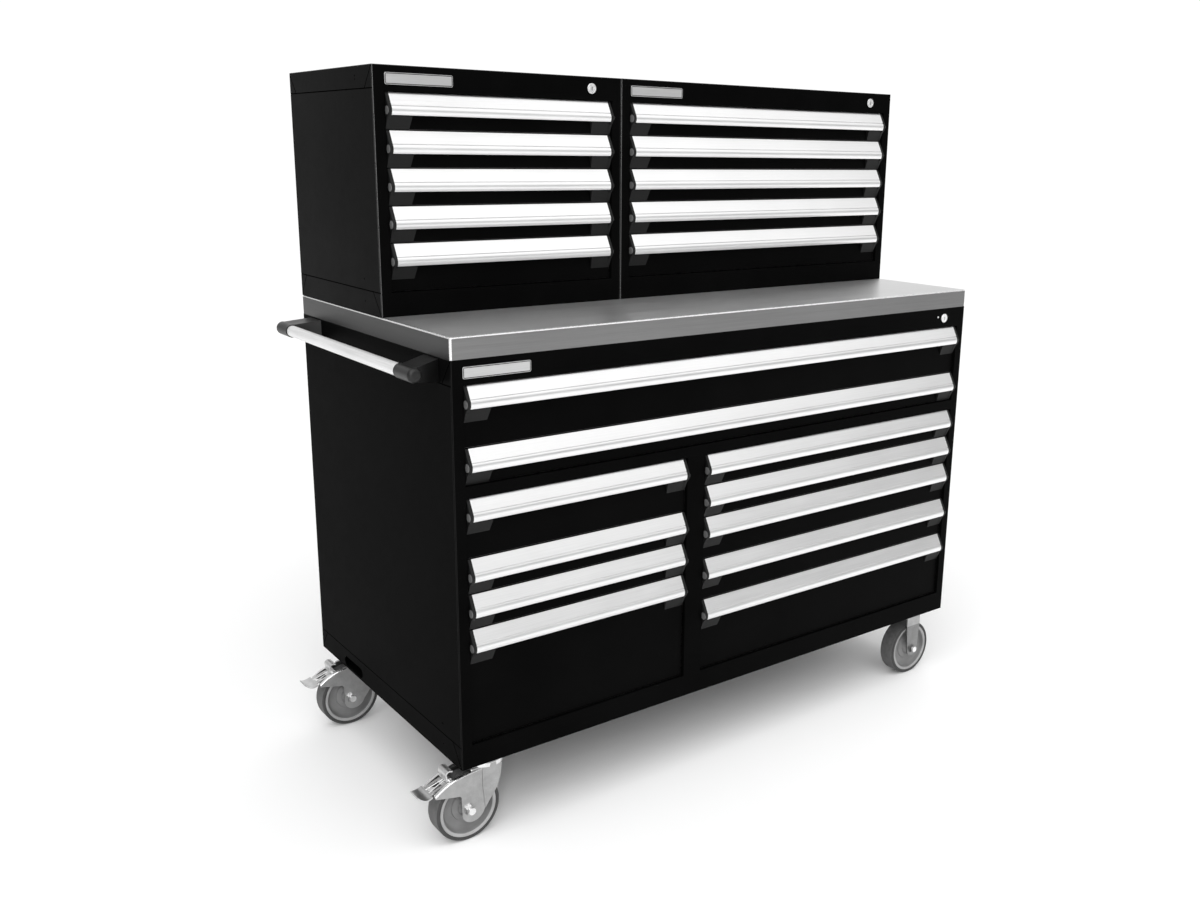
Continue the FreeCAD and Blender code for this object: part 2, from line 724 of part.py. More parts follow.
def wheel(x, y):
    """A caster wheel: its tread, and the dished core with the hub bore."""
    half = WHEEL_WIDTH / 2
    shoulder = WHEEL_RADIUS - WHEEL_SHOULDER
    soft = WHEEL_SHOULDER * math.sqrt(0.5)
    tread = [
        (TYRE_BORE, -half),
        (shoulder, -half),
        ((shoulder + soft, -half + WHEEL_SHOULDER - soft), (WHEEL_RADIUS, -half + WHEEL_SHOULDER)),
        (WHEEL_RADIUS, half - WHEEL_SHOULDER),
        ((shoulder + soft, half - WHEEL_SHOULDER + soft), (shoulder, half)),
        (TYRE_BORE, half),
    ]
    right = [
        (AXLE_RADIUS + AXLE_CLEARANCE, HUB_HALF),
        (HUB_RADIUS - 2, HUB_HALF),
        (HUB_RADIUS, HUB_HALF - 2),
        (HUB_RADIUS + 3, BOSS_HALF + 2),
        (BOSS_RADIUS - 2, BOSS_HALF),
        (BOSS_RADIUS, DISH_HALF),
        (DISH_RADIUS, DISH_HALF),
        (RIM_LIP - 2, RIM_HALF - 6),
        (RIM_LIP, RIM_HALF),
        (TYRE_BORE, RIM_HALF),
    ]
    left = [(radius, -along) for radius, along in reversed(right)]
    return [revolve_y(tread, x, y, AXLE_HEIGHT), revolve_y(right + left, x, y, AXLE_HEIGHT)]


def axle(x, y):
    """The axle bolt with its nut, its head and the two thrust washers by the hub."""
    outer = FORK_INNER + FORK_PLATE
    start = Vector(x, y - outer - NUT_HEIGHT - 3, AXLE_HEIGHT)
    end = Vector(x, y + outer + 1, AXLE_HEIGHT)
    bolt = rod(AXLE_RADIUS, start, end)
    nut = hexagon(NUT_RADIUS, x, AXLE_HEIGHT, y - outer - NUT_HEIGHT, y - outer)
    head = hexagon(NUT_RADIUS, x, AXLE_HEIGHT, y + outer, y + outer + NUT_HEIGHT)
    pieces = [bolt.fuse([nut, head])]
    for side in (-1, 1):
        inner = Vector(x, y + side * (HUB_HALF + WASHER_GAP), AXLE_HEIGHT)
        face = Vector(x, y + side * FORK_INNER, AXLE_HEIGHT)
        pieces.append(rod(WASHER_RADIUS, inner, face).cut(rod(AXLE_RADIUS, inner, face)))
    return pieces


def mounting_plate(x, y):
    """A caster's top plate with a hex bolt at each corner."""
    half_x = PLATE_LENGTH / 2
    half_y = PLATE_WIDTH / 2
    sides = (x - half_x, x + half_x, y - half_y, y + half_y)
    plate = footprint(*sides, PLATE_BOTTOM, CASTER_HEIGHT, PLATE_ROUND)
    bolts = []
    for sx in (-0.5, 0.5):
        for sy in (-0.5, 0.5):
            at = Vector(x + sx * BOLT_SPACING_X, y + sy * BOLT_SPACING_Y, PLATE_BOTTOM)
            shank = rod(BOLT_RADIUS, at, at + Vector(0, 0, PLATE_THICK))
            plate = plate.cut(shank)
            points = []
            for k in range(7):
                angle = math.radians(60 * k)
                reach = Vector(math.cos(angle), math.sin(angle), 0) * BOLT_HEAD_RADIUS
                points.append(at + reach - Vector(0, 0, BOLT_HEAD_HEIGHT))
            head = Part.Face(Part.makePolygon(points)).extrude(Vector(0, 0, BOLT_HEAD_HEIGHT))
            bolts.append(head.fuse(shank))
    return [plate] + bolts


def swivel_mount(x, y):
    """The fixed half of a swivel: top plate, upper ball race and riveted kingpin."""
    top = Vector(x, y, PLATE_BOTTOM)
    race_ends = [top - Vector(0, 0, RACE_HEIGHT), top]
    race = rod(RACE_RADIUS, *race_ends).cut(rod(KINGPIN_RADIUS, *race_ends))
    pin = rod(KINGPIN_RADIUS, top - Vector(0, 0, RIVET_TOP), top)
    rivet = rod(RIVET_RADIUS, top - Vector(0, 0, RIVET_BOTTOM), top - Vector(0, 0, RIVET_TOP))
    return mounting_plate(x, y) + [race, pin.fuse(rivet)]


def rigid_fork(x, y):
    """A fixed caster's two straight legs, each bent from the plate down to the axle."""
    pieces = mounting_plate(x, y)
    low = RIGID_END_HALF
    shoulder = PLATE_BOTTOM - RIGID_SHOULDER
    path = [
        (x - RIGID_TOP_HALF, PLATE_BOTTOM),
        (x - RIGID_TOP_HALF, shoulder),
        (x - low, AXLE_HEIGHT),
        ((x, AXLE_HEIGHT - low), (x + low, AXLE_HEIGHT)),
        (x + RIGID_TOP_HALF, shoulder),
        (x + RIGID_TOP_HALF, PLATE_BOTTOM),
    ]
    for side in (-1, 1):
        inner = y + side * FORK_INNER
        outer = inner + side * FORK_PLATE
        hole = rod(AXLE_RADIUS, Vector(x, inner, AXLE_HEIGHT), Vector(x, outer, AXLE_HEIGHT))
        pieces.append(prism_y(path, *sorted((inner, outer))).cut(hole))
    return pieces + axle(x, y)


def fork_outline(x, drop):
    """A swivel fork's side: the leg to the axle, the swept body, and the arm for the brake."""
    z = AXLE_HEIGHT - drop
    return [
        (x - 79, z + 51),
        (x - 79, z + 57),
        ((x - 50, z + 74), (x - 8, z + 85)),
        (x + 30, z + FORK_TOP),
        (x + 78, z + FORK_TOP),
        (x + 74, z + 60),
        (x + 66, z + 35),
        (x + 34, z - 9),
        ((x + 26, z - 22), (x + 6, z - 30)),
        ((x - 13, z - 22), (x - 19, z - 4)),
        (x - 20, z + 32),
        ((x - 22, z + 38), (x - 28, z + 40)),
    ]


def fork_side(x, y, side):
    """One side of a swivel fork: a plate folded over on top, its rear panel pressed proud."""
    inner = y + side * FORK_INNER
    outer = inner + side * FORK_PLATE
    plate = prism_y(fork_outline(x, 0), *sorted((inner, outer)))
    fold_edges = []
    for edge in plate.Edges:
        box = edge.BoundBox
        flat = abs(box.YMin - outer) < 1e-6 and abs(box.YMax - outer) < 1e-6
        if flat and box.ZMin > AXLE_HEIGHT + 56.9 and box.XMax < x + 30.1:
            fold_edges.append(edge)
    plate = plate.makeFillet(FORK_FOLD, fold_edges)
    crease_top, crease_low = FORK_CREASE
    behind = [
        (x + crease_top, AXLE_HEIGHT + FORK_TOP + 1),
        (x + crease_top, AXLE_HEIGHT + FORK_TOP / 2),
        (x + crease_low, AXLE_HEIGHT - 12),
        (x + 90, AXLE_HEIGHT - 12),
        (x + 90, AXLE_HEIGHT + FORK_TOP + 1),
    ]
    proud = outer + side * FORK_PANEL
    panel = prism_y(fork_outline(x, 0), *sorted((outer, proud)))
    panel = panel.common(prism_y(behind, *sorted((outer - side, proud + side))))
    plate = plate.fuse(panel)
    flange_inner = outer - side * FORK_FLANGE
    flange = prism_y(fork_outline(x, 0), *sorted((flange_inner, inner)))
    below = prism_y(fork_outline(x, FORK_FLANGE_SHEET), *sorted((flange_inner, inner)))
    hole = rod(AXLE_RADIUS, Vector(x, inner, AXLE_HEIGHT), Vector(x, outer, AXLE_HEIGHT))
    return plate.fuse(flange.cut(below)).removeSplitter().cut(hole)


def swivel_fork(x, y):
    """The turning half of a swivel caster, with its axle and the brake's pivot pin."""
    pieces = [fork_side(x, y, -1), fork_side(x, y, 1)]
    swivel_x = x + SWIVEL_OFFSET
    head_low = AXLE_HEIGHT + FORK_TOP
    head_high = head_low + CROWN_SHEET
    race_top = PLATE_BOTTOM - RACE_HEIGHT - RACE_GAP
    half = FORK_INNER + FORK_PLATE
    crown = footprint(x + 4, x + 78, y - half, y + half, head_low, head_high, 3)
    dish = rod(DISH_RACE_RADIUS, Vector(swivel_x, y, head_high), Vector(swivel_x, y, race_top))
    dish = dish.makeFillet(3.0, [e for e in dish.Edges if e.BoundBox.ZMin > race_top - 1e-6])
    low = Vector(swivel_x, y, head_low - 1)
    hole = rod(KINGPIN_RADIUS + 0.5, low, Vector(swivel_x, y, PLATE_BOTTOM))
    pieces.append(crown.fuse(dish).removeSplitter().cut(hole))
    pin_x = x + PEDAL_PIVOT[0]
    pin_z = AXLE_HEIGHT + PEDAL_PIVOT[1]
    ends = [Vector(pin_x, y + side * FORK_INNER, pin_z) for side in (-1, 1)]
    pieces.append(rod(PEDAL_PIN_RADIUS, *ends))
    return pieces + axle(x, y)


def brake_pedal(x, y):
    """The brake's rocker: a wide lip to press down, and above it the tab that lets go."""
    px = x + PEDAL_PIVOT[0]
    pz = AXLE_HEIGHT + PEDAL_PIVOT[1]
    half = FORK_INNER - PEDAL_GAP
    barrel = rod(PEDAL_BARREL_RADIUS, Vector(px, y - half, pz), Vector(px, y + half, pz))
    outer_lip = [
        (px - 46, pz - 19),
        ((px - 60, pz - 21.5), (px - 72, pz - 15)),
        (px - PEDAL_LIP_TIP, pz - 17.8),
        ((px - 60, pz - 24.8), (px - 45, pz - 22.2)),
    ]
    tread = [(px - 1, pz - 4)] + outer_lip + [(px - 1, pz - 4 - PEDAL_SHEET)]
    tread = prism_y(tread, y - PEDAL_HALF, y + PEDAL_HALF)
    near, far, reach = PEDAL_WINDOW
    tread = tread.cut(block(px - far, px - near, y - reach, y + reach, pz - 30, pz + 5))
    lip = [(px - 43, pz - 18.1)] + outer_lip + [(px - 43, pz - 21.6)]
    lip = prism_y(lip, y - PEDAL_LIP_HALF, y + PEDAL_LIP_HALF)
    plan = (px - PEDAL_LIP_TIP, px, y - PEDAL_LIP_HALF, y + PEDAL_LIP_HALF)
    lip = lip.common(footprint(*plan, pz - 30, pz, PEDAL_LIP_ROUND))
    tab = [
        (px - 6, pz + 1),
        (px - 8, pz + 12),
        ((px - 5, pz + 20), (px + 3, pz + 22)),
        (px + 9, pz + 20),
        (px + 8.4, pz + 17.2),
        (px + 2.8, pz + 19),
        ((px - 2.8, pz + 17.4), (px - 5, pz + 12)),
        (px - 3, pz + 2),
    ]
    tab = prism_y(tab, y - PEDAL_HALF, y + PEDAL_HALF)
    springs = []
    for side in (-1, 1):
        start = Vector(px - 4, y + side * SPRING_SPREAD[0], pz - 4)
        end = Vector(px - far - 3, y + side * SPRING_SPREAD[1], pz - 18.5)
        springs.append(rod(SPRING_RADIUS, start, end))
    pedal = barrel.fuse([tread, lip, tab] + springs).removeSplitter()
    bore_ends = [Vector(px, y - FORK_INNER, pz), Vector(px, y + FORK_INNER, pz)]
    return [pedal.cut(rod(PEDAL_PIN_RADIUS + PEDAL_CLEARANCE, *bore_ends))]


# ---- the whole chest ----------------------------------------------------------------------
def build_nodes():
    """Every node's name and its solids."""
    nodes = {
        "base_cabinet": base_casing(),
        "worktop": worktop(),
        "hutch_left_cabinet": hutch_casing(0, HUTCH_SPLIT),
        "hutch_right_cabinet": hutch_casing(HUTCH_SPLIT, CABINET_WIDTH),
        "push_handle": push_handle(),
    }
    runners = []
    for name, cell, length in drawer_cells():
        nodes[f"{name}_box"] = drawer_box(cell, length)
        nodes[f"{name}_pull"] = drawer_pull(cell)
        runners += fixed_runners(cell, length)
    nodes["drawer_runners"] = runners
    for name, x, y, z in locks():
        nodes[name] = lock_plug(x, y, z)
    mounts = []
    ends = (("front", WHEEL_INSET_Y), ("rear", CABINET_DEPTH - WHEEL_INSET_Y))
    for end, y in ends:
        mounts += swivel_mount(SWIVEL_WHEEL_X + SWIVEL_OFFSET, y)
        mounts += rigid_fork(RIGID_WHEEL_X, y)
        nodes[f"swivel_fork_{end}"] = swivel_fork(SWIVEL_WHEEL_X, y)
        nodes[f"brake_pedal_{end}"] = brake_pedal(SWIVEL_WHEEL_X, y)
        nodes[f"wheel_{end}_left"] = wheel(SWIVEL_WHEEL_X, y)
        nodes[f"wheel_{end}_right"] = wheel(RIGID_WHEEL_X, y)
    nodes["caster_mounts"] = mounts
    return nodes


def model_origin(nodes):
    """The floor point under the middle of the bounding box."""
    shapes = [solid for solids in nodes.values() for solid in solids]
    box = Part.makeCompound(shapes).optimalBoundingBox(False)
    return Vector((box.XMin + box.XMax) / 2, (box.YMin + box.YMax) / 2, 0)


NODES = build_nodes()
ORIGIN = model_origin(NODES)

os.makedirs("parts", exist_ok=True)
for node_name, node_solids in NODES.items():
    shape = Part.makeCompound(node_solids)
    shape.translate(-ORIGIN)
    shape.exportStep(f"parts/{node_name}.step")
print(len(NODES), "nodes; origin at", ORIGIN)
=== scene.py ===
import math

import bmesh
import bpy
from mathutils import Matrix, Vector


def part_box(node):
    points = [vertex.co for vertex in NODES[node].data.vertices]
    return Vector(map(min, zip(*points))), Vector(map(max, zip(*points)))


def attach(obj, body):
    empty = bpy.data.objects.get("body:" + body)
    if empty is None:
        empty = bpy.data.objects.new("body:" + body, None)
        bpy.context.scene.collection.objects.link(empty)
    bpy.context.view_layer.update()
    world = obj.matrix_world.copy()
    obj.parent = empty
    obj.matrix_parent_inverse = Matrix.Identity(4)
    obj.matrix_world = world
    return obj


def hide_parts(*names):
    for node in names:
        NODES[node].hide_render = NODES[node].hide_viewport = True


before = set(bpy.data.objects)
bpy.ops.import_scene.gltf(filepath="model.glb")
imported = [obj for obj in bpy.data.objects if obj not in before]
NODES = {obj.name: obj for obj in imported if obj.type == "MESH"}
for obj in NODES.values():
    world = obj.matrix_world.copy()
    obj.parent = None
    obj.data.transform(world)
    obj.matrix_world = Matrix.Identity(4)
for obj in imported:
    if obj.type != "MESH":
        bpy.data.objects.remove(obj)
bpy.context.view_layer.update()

WHEELS = [name for name in NODES if name.startswith("wheel_")]
MM = 0.001

# ---- the camera: the reference view's angle, kept relative to the cabinet's front-left corner ----
CAMERA_FROM_CORNER = Vector((-0.98632, -1.94511, 1.25768))
CAMERA_YAW = 0.6528
CAMERA_PITCH = -0.2411
CAMERA_ROLL = 0.0151
CAMERA_LENS = 34.46
CAMERA_SENSOR = 36.0
CAMERA_SHIFT = (-0.0493, -0.0147)

# ---- looks: tones matched to the photo, so pieces of one paint or metal may differ ----
BLACK_PAINT = 0.0018
DRAWER_PAINT = 0.0016
CABINET_SPECULAR = 0.013
DRAWER_SPECULAR = 0.018
# The base's sides take a copy of the paint with a lighter colour but far less gloss, darker overall:
# painted shade.
SHADED_SIDE_SPECULAR = 0.004
# Lighter, glossier copies of the paint for bends and edges: painted highlights, softer on the base.
EDGE_HIGHLIGHT_PAINT = 0.006
SOFT_EDGE_HIGHLIGHT_PAINT = 0.002
WORKTOP_STEEL = 0.64
# Darker copies of the worktop steel for the skirts are painted shade; the lighter one for the bends
# is a painted highlight.
SHADED_SKIRT_STEEL = 0.24
SHADED_SIDE_SKIRT_STEEL = 0.068
HIGHLIGHT_BENT_STEEL = 0.9
PULL_METAL = 0.86
TUBE_METAL = 0.88
ZINC = 0.4
# A lighter copy of the zinc for folds, edges and axle ends: a painted highlight.
HIGHLIGHT_ZINC = 0.85
# A darker copy of the zinc for the caster mounts below their plates, under the cabinet: painted
# shade.
SHADED_LEG_ZINC = 0.26
BRAKE_ZINC = 0.62
CAP_PLASTIC = 0.007
# A lighter copy of the cap plastic for the knobs: a painted highlight.
CAP_KNOB_HIGHLIGHT = 0.12
BRACKET_PLASTIC = 0.004
TREAD_RUBBER = 0.1
# A darker copy of the tread rubber for the tyre's walls: painted shade.
SHADED_SIDEWALL_RUBBER = 0.045
CORE_NYLON = 0.185
# A lighter copy of the core's nylon for its rim ring: a painted highlight.
RIM_HIGHLIGHT_NYLON = 0.33
BADGE_METAL = 0.62
BADGE_ENAMEL = 0.012
LOCK_CHROME = 0.92
# A darker copy of the lock's chrome for its plug, and a near-black keyway: painted shade.
SHADED_LOCK_PLUG = 0.34
KEYWAY_SHADE = 0.004
FLOOR_TONE = 0.92
BACKDROP_TONE = 1.05
ROOM_TONE = 0.5
BACKDROP_EDGE = (0.35, 0.8)

# ---- which way a face looks: the size of its normal's part along an axis ----
SQUARE = 0.985
SIDE_FACING = 0.99
SKIRT_FACING = 0.8
SIDEWALL_FACING = 0.4

# ---- where a finish starts and ends on a CAD node, in mm ----
SIDE_FLAT = 0.05
SEAM_DEPTHS = (0.5, 1.0)
SEAM_ABOVE = 1.4
PIN_PROUD = 1.0
PLUG_RADIUS = 5.4
KEYWAY_HALF_WIDTH = 1.6
KEYWAY_HALF_HEIGHT = 5.5
KEYWAY_SINK = 0.4
MOUNT_PLATE_DEPTH = 10.0
AXLE_END_RADIUS = 9.0
AXLE_END_START = 29.9
CAP_REACH = 60.0
KNOB_REACH = 1.05
TUBE_AXIS = 15.2
TUBE_RADIUS = 13.4
TUBE_START = 55.9

# ---- soft edges: widths in mm, the angle in degrees ----
SHEET_EDGE = 0.7
BRAKE_EDGE = 0.5
EDGE_ANGLE = 32.0
EDGE_SEGMENTS = 2

# ---- new pieces: badge sizes in metres, the angle in degrees ----
SHARP_ANGLE = 35.0
LATHE_STEPS = 96
BADGE_SIZE = (0.152, 0.024)
BADGE_DROP = 0.0265
BADGE_CORNER = 0.004
BADGE_STEPS = 24
# Each badge's cabinet, and how far from that cabinet's left side it starts.
BADGES = {
    "badge_base": ("base_cabinet", 0.025),
    "badge_hutch_left": ("hutch_left_cabinet", 0.027),
    "badge_hutch_right": ("hutch_right_cabinet", 0.027),
}
# A badge's section from its back edge to its field: (inside its outline, behind the front), in mm.
BADGE_SECTION = [
    (0.0, 0.3),
    (0.0, -0.9),
    (0.3, -1.3),
    (1.2, -1.3),
    (1.4, -0.8),
    (2.6, -0.8),
    (2.8, -1.2),
]
# The dark line takes the section's strips from the first number up to the second.
BADGE_LINE = (3, 6)

# ---- half sections of a wheel: (radius, distance from its middle plane), in mm ----
TREAD_SIDE = [(66.6, 21.0), (67.4, 22.6), (69.0, 23.0)]
TREAD_SHOULDER = {"centre": (70.0, 18.0), "radius": 5.0, "start": 82, "end": 8, "steps": 8}
TREAD_FACE = [(75.0, 14.0), (75.0, 5.0)]
CORE_HUB = [(8.3, 24.2), (16.6, 24.2), (17.0, 25.0), (18.2, 25.0), (19.0, 24.0)]
CORE_BOSS = [(21.6, 12.4), (23.0, 11.4), (31.6, 9.8), (33.0, 9.2)]
CORE_WEB = [(34.4, 6.4), (36.0, 5.8), (50.0, 5.8), (53.2, 7.0)]
CORE_DISH = [(55.8, 10.2), (58.0, 16.0), (59.0, 19.8)]
CORE_LIP = [(60.2, 21.1), (61.6, 21.5), (65.8, 21.5), (66.8, 20.8)]
HUB_CAP = [(9.4, 23.4), (9.4, 24.7), (14.6, 24.9), (15.8, 24.6), (16.2, 23.4)]
RIM_START = 58.6


# ---- node helpers -------------------------------------------------------------------------
class Shader:
    """A material's node tree, with short calls for the nodes that the looks are made of."""

    def __init__(self, name, color, roughness, metallic=0.0, specular=0.5):
        self.material = bpy.data.materials.new(name)
        self.material.use_nodes = True
        self.tree = self.material.node_tree
        self.bsdf = self.tree.nodes["Principled BSDF"]
        self.set("Base Color", grey(color))
        self.set("Roughness", roughness)
        self.set("Metallic", metallic)
        self.set("Specular IOR Level", specular)
        self.material.diffuse_color = grey(color)

    def set(self, socket, value):
        self.bsdf.inputs[socket].default_value = value

    def node(self, kind, **values):
        made = self.tree.nodes.new(kind)
        for key, value in values.items():
            setattr(made, key, value)
        return made

    def link(self, source, target):
        self.tree.links.new(source, target)

    def place(self, stretch):
        """Object coordinates, in metres, scaled along each axis."""
        coordinates = self.node("ShaderNodeTexCoord")
        mapping = self.node("ShaderNodeMapping")
        mapping.inputs["Scale"].default_value = stretch
        self.link(coordinates.outputs["Object"], mapping.inputs["Vector"])
        return mapping.outputs["Vector"]

    def noise(self, scale, detail=2.0, rough=0.5, stretch=(1, 1, 1)):
        made = self.node("ShaderNodeTexNoise")
        made.inputs["Scale"].default_value = scale
        made.inputs["Detail"].default_value = detail
        made.inputs["Roughness"].default_value = rough
        self.link(self.place(stretch), made.inputs["Vector"])
        return made.outputs["Fac"]

    def ramp(self, value, low, high, start=0.3, end=0.7):
        """value carried from start..end onto low..high."""
        made = self.node("ShaderNodeMapRange")
        made.inputs["From Min"].default_value = start
        made.inputs["From Max"].default_value = end
        made.inputs["To Min"].default_value = low
        made.inputs["To Max"].default_value = high
        self.link(value, made.inputs["Value"])
        return made.outputs["Result"]

    def join(self, first, second, operation="ADD"):
        made = self.node("ShaderNodeMath", operation=operation)
        self.link(first, made.inputs[0])
        if isinstance(second, (int, float)):
            made.inputs[1].default_value = second
        else:
            self.link(second, made.inputs[1])
        return made.outputs[0]

    def shade(self, value):
        """Drives the base colour, as a grey, by value."""
        made = self.node("ShaderNodeCombineColor")
        for channel in ("Red", "Green", "Blue"):
            self.link(value, made.inputs[channel])
        self.link(made.outputs["Color"], self.bsdf.inputs["Base Color"])

    def roughness(self, value):
        self.link(value, self.bsdf.inputs["Roughness"])

    def bump(self, height, strength, distance):
        made = self.node("ShaderNodeBump")
        made.inputs["Strength"].default_value = strength
        made.inputs["Distance"].default_value = distance
        self.link(height, made.inputs["Height"])
        self.link(made.outputs["Normal"], self.bsdf.inputs["Normal"])


def grey(value):
    return (value, value, value * 1.01, 1.0)


# ---- materials ----------------------------------------------------------------------------
def powder_coat(name, tone, rough, specular):
    """Semi-gloss black powder coat: orange peel, a little haze, and faint handling marks."""
    s = Shader(name, tone, rough, specular=specular)
    haze = s.noise(5.0, 3.0, 0.6)
    marks = s.noise(38.0, 4.0, 0.7)
    both = s.join(s.ramp(haze, -0.05, 0.05), s.ramp(marks, -0.03, 0.03))
    s.roughness(s.join(both, rough))
    s.shade(s.ramp(haze, tone * 0.8, tone * 1.35))
    s.bump(s.noise(650.0, 2.0, 0.5), 0.12, 0.0004)
    return s.material


def paint_edge_highlight(name, tone, specular):
    """A painted highlight: the same powder coat made lighter and glossier on bends and edges, so that
    they catch more light.
    """
    s = Shader(name, tone, 0.3, specular=specular)
    wear = s.noise(90.0, 3.0, 0.6)
    s.shade(s.ramp(wear, tone * 0.7, tone * 1.6))
    s.roughness(s.ramp(wear, 0.24, 0.36))
    s.bump(s.noise(650.0, 2.0, 0.5), 0.1, 0.0004)
    return s.material


def brushed(name, tone, rough, stretch, anisotropy, across):
    """Brushed stainless: fine scratches along one axis, the highlight drawn out across them."""
    s = Shader(name, tone, rough, metallic=1.0)
    s.set("Anisotropic", anisotropy)
    tangent = s.node("ShaderNodeTangent", direction_type="RADIAL", axis=across)
    s.link(tangent.outputs["Tangent"], s.bsdf.inputs["Tangent"])
    fine = s.noise(900.0, 3.0, 0.7, stretch)
    broad = s.noise(120.0, 2.0, 0.5, stretch)
    cloud = s.noise(2.2, 3.0, 0.6)
    lines = s.join(s.ramp(fine, -0.08, 0.08), s.ramp(broad, -0.04, 0.04))
    tones = s.join(s.join(lines, tone, "MULTIPLY"), s.ramp(cloud, tone * 0.94, tone * 1.06))
    s.shade(tones)
    s.roughness(s.join(s.join(lines, 0.5, "MULTIPLY"), rough))
    s.bump(fine, 0.1, 0.0003)
    return s.material


def satin_metal(name, tone, rough, stretch):
    """Anodised aluminium: faint drawing lines along its length and a soft sheen."""
    s = Shader(name, tone, rough, metallic=1.0)
    lines = s.noise(700.0, 2.0, 0.6, stretch)
    cloud = s.noise(6.0, 2.0, 0.5)
    tones = s.join(s.ramp(lines, -0.03, 0.03), s.ramp(cloud, tone - 0.02, tone + 0.02))
    s.shade(tones)
    s.roughness(s.join(s.ramp(lines, -0.06, 0.06), rough))
    s.bump(lines, 0.06, 0.0002)
    return s.material


def zinc_plate(name, tone, rough):
    """Bright zinc: pressed sheet with a cloudy bloom and small scuffs."""
    s = Shader(name, tone, rough, metallic=1.0)
    bloom = s.noise(45.0, 3.0, 0.6)
    scuffs = s.noise(260.0, 4.0, 0.75)
    s.shade(s.join(s.ramp(bloom, tone * 0.9, tone * 1.1), s.ramp(scuffs, -0.03, 0.03)))
    s.roughness(s.join(s.ramp(scuffs, -0.08, 0.1), rough))
    s.bump(s.noise(420.0, 2.0, 0.5), 0.08, 0.0003)
    return s.material


def moulded_plastic(name, tone, rough, grain, specular=0.4):
    """Moulded plastic with a fine spark-eroded grain."""
    s = Shader(name, tone, rough, specular=specular)
    cloud = s.noise(20.0, 2.0, 0.5)
    s.shade(s.ramp(cloud, tone * 0.85, tone * 1.2))
    s.roughness(s.ramp(cloud, rough - 0.06, rough + 0.06))
    s.bump(s.noise(grain, 1.0, 0.5), 0.2, 0.0003)
    return s.material


def tread_rubber(name, tone):
    """Grey non-marking rubber: matt, with scuffs and dust worked into its surface."""
    s = Shader(name, tone, 0.7, specular=0.35)
    dust = s.noise(60.0, 4.0, 0.7)
    s.shade(s.ramp(dust, tone * 0.8, tone * 1.35))
    s.roughness(s.ramp(dust, 0.6, 0.82))
    s.bump(s.noise(500.0, 3.0, 0.6), 0.25, 0.0004)
    return s.material


def chrome(name, tone):
    """Polished plate with hair-fine wipe marks."""
    s = Shader(name, tone, 0.3, metallic=1.0)
    wipes = s.noise(300.0, 3.0, 0.6)
    s.shade(s.ramp(wipes, tone * 0.94, tone * 1.04))
    s.roughness(s.ramp(wipes, 0.24, 0.4))
    s.bump(wipes, 0.03, 0.0001)
    return s.material


def floor_material():
    s = Shader("studio_floor", FLOOR_TONE, 0.85, specular=0.1)
    s.shade(s.ramp(s.noise(0.8, 2.0, 0.5), FLOOR_TONE - 0.01, FLOOR_TONE + 0.01))
    return s.material


